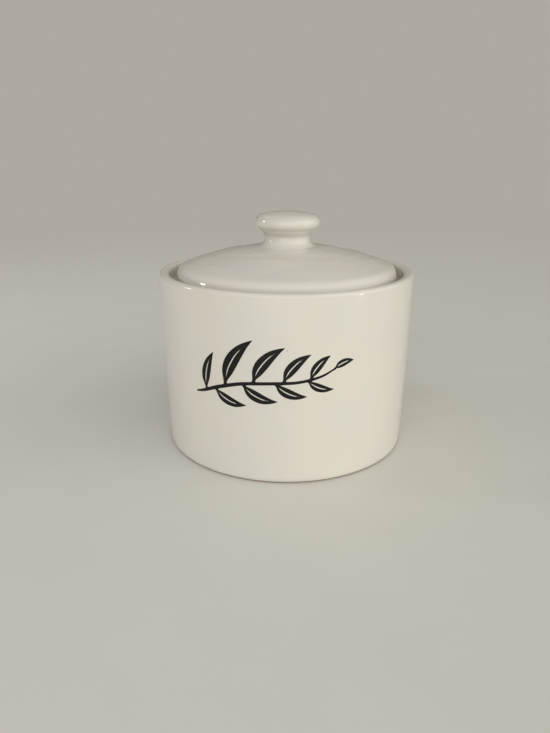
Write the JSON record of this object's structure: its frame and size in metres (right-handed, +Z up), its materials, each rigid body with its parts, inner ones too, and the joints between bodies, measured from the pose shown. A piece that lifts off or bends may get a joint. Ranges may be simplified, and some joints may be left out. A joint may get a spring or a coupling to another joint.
{
  "type": "tea canister",
  "caption": "Round glazed stoneware tea jar with a bowed upright side, a rounded rim and a loose crowned lid with a flattened knob that drops into the mouth.",
  "frame": {"origin": "centre of the flat ring that the jar stands on, at its lowest level", "axes": "+Z up along the axis of the jar and the lid, -Y towards the decorated front, +X to the viewer's right of it"},
  "size_m": [0.157, 0.157, 0.144],
  "materials": {
    "white_glaze": "glossy",
    "black_decoration": "glossy",
    "bare_clay": "matte"
  },
  "bodies": {
    "root": {"jar": "white_glaze", "lid": "white_glaze"}
  },
  "joints": []
}
